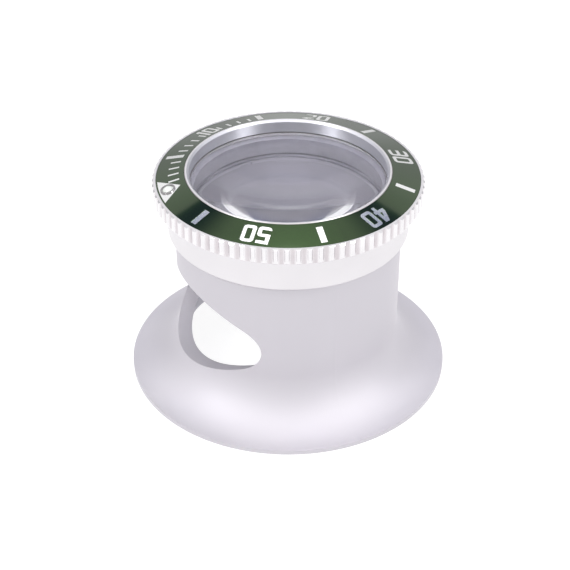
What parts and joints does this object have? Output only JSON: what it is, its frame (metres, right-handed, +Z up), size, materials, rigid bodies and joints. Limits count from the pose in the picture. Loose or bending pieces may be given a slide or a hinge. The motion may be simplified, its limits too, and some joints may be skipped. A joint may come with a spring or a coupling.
{
  "type": "standing loupe",
  "caption": "Stand loupe for close inspection: flared metal eyecup with an oval side window, a lens barrel and a turning coin-edge bezel with a green minute scale.",
  "frame": {"origin": "centre of the foot, on the table", "axes": "+Z up along the lens axis, -Y out of the side window, +X to the right when facing the window"},
  "size_m": [0.048, 0.048, 0.0332],
  "materials": {
    "satin_silver": "bead-blasted and silver anodised",
    "band_silver": "fine turned and silver anodised",
    "glass": "polished, coated",
    "inner_plastic": "turned grey acetal",
    "silicone": "moulded grey silicone",
    "spring_wire": "drawn wire",
    "nylon": "stamped sheet",
    "polished_metal": "polished",
    "adhesive": "double-sided film",
    "green_insert": "sunburst brushed, green anodised",
    "silver_marks": "bare engraved metal",
    "pearl": "luminous resin dome"
  },
  "bodies": {
    "loupe_body": {"eyecup_shell": "satin_silver", "lens_barrel": "band_silver", "upper_lens": "glass", "lens_spacer": "inner_plastic", "lower_lens": "glass", "lens_o_ring": "silicone", "lens_retaining_ring": "inner_plastic", "bezel_wire_spring": "spring_wire", "bezel_friction_washer": "nylon"},
    "bezel": {"bezel_ring": "polished_metal", "insert_adhesive": "adhesive", "bezel_insert": "green_insert", "zero_triangle": "silver_marks", "five_minute_bars": "silver_marks", "minute_ticks": "silver_marks", "numeral_10": "silver_marks", "numeral_20": "silver_marks", "numeral_30": "silver_marks", "numeral_40": "silver_marks", "numeral_50": "silver_marks", "pearl_setting": "polished_metal", "pearl": "pearl"}
  },
  "joints": [
    {"name": "bezel_turn", "type": "hinge", "parent": "loupe_body", "child": "bezel", "pos_m": [0, 0, 0.0305], "axis": [0, 0, 1], "continuous": true}
  ]
}
